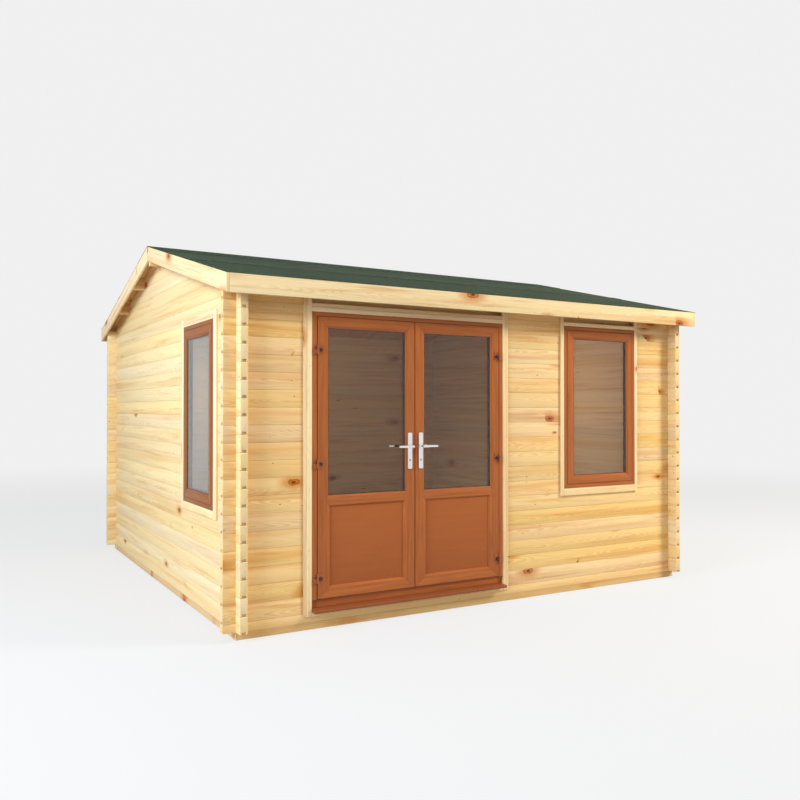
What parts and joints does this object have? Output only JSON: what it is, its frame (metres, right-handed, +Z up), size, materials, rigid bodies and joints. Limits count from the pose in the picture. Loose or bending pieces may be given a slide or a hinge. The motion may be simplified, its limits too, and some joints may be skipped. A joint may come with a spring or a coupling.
{
  "type": "log cabin",
  "caption": "Interlocking log cabin with a low apex roof, outward opening glazed double doors and two fixed casement windows.",
  "frame": {"origin": "on the ground under the middle of the building", "axes": "+X right along the front wall, -Y out through the door, +Z up"},
  "size_m": [4.194, 4.22, 2.8293],
  "materials": {
    "log_timber": "planed spruce logs with knots",
    "rough_timber": "sawn softwood",
    "trim_timber": "planed softwood",
    "edge_boards": "planed softwood",
    "roof_boards": "planed softwood boards",
    "roof_felt": "mineral surfaced felt",
    "brown_plastic": "wood grained foil on plastic",
    "door_panel": "wood grained foil on plastic",
    "clear_glass": "clear sealed glass",
    "polished_metal": "polished plate",
    "hinge_metal": "brown painted metal"
  },
  "bodies": {
    "cabin": {"base_bearers": "rough_timber", "floor_deck": "rough_timber", "front_wall_left": "log_timber", "front_wall_lower": "log_timber", "front_wall_beside_window": "log_timber", "front_wall_head": "log_timber", "back_wall": "log_timber", "left_wall_lower": "log_timber", "left_wall_beside_window": "log_timber", "left_gable": "log_timber", "right_wall": "log_timber", "right_gable": "log_timber", "roof_purlins": "rough_timber", "front_roof_boards": "roof_boards", "back_roof_boards": "roof_boards", "front_felt": "roof_felt", "back_felt": "roof_felt", "ridge_felt": "roof_felt", "fascia_boards": "edge_boards", "left_barge_boards": "edge_boards", "right_barge_boards": "edge_boards", "door_frame": "brown_plastic", "door_sill": "brown_plastic", "door_trim": "trim_timber", "front_window_trim": "trim_timber", "front_window_frame": "brown_plastic", "front_window_sash": "brown_plastic", "front_window_glass": "clear_glass", "left_window_trim": "trim_timber", "left_window_frame": "brown_plastic", "left_window_sash": "brown_plastic", "left_window_glass": "clear_glass", "inside_trim": "trim_timber", "door_hinge_pins": "hinge_metal"},
    "left_door": {"left_door_leaf": "brown_plastic", "left_door_glass": "clear_glass", "left_door_panel": "door_panel", "left_door_hinges": "hinge_metal", "left_handle_plates": "polished_metal"},
    "left_handle": {"left_lever": "polished_metal"},
    "right_door": {"right_door_leaf": "brown_plastic", "right_door_glass": "clear_glass", "right_door_panel": "door_panel", "right_door_hinges": "hinge_metal", "right_handle_plates": "polished_metal"},
    "right_handle": {"right_lever": "polished_metal"}
  },
  "joints": [
    {"name": "left_door_hinge", "type": "hinge", "parent": "cabin", "child": "left_door", "pos_m": [-1.4235, -1.979, 1.1], "axis": [0, 0, -1], "range_deg": [0, 100]},
    {"name": "right_door_hinge", "type": "hinge", "parent": "cabin", "child": "right_door", "pos_m": [0.0755, -1.979, 1.1], "axis": [0, 0, 1], "range_deg": [0, 100]},
    {"name": "left_handle_turn", "type": "hinge", "parent": "left_door", "child": "left_handle", "pos_m": [-0.712, -1.97, 1.2], "axis": [0, -1, 0], "range_deg": [0, 40], "stiffness_Nm_per_rad": 1, "springref_deg": -20.05},
    {"name": "right_handle_turn", "type": "hinge", "parent": "right_door", "child": "right_handle", "pos_m": [-0.622, -1.97, 1.2], "axis": [0, 1, 0], "range_deg": [0, 40], "stiffness_Nm_per_rad": 1, "springref_deg": -20.05}
  ]
}
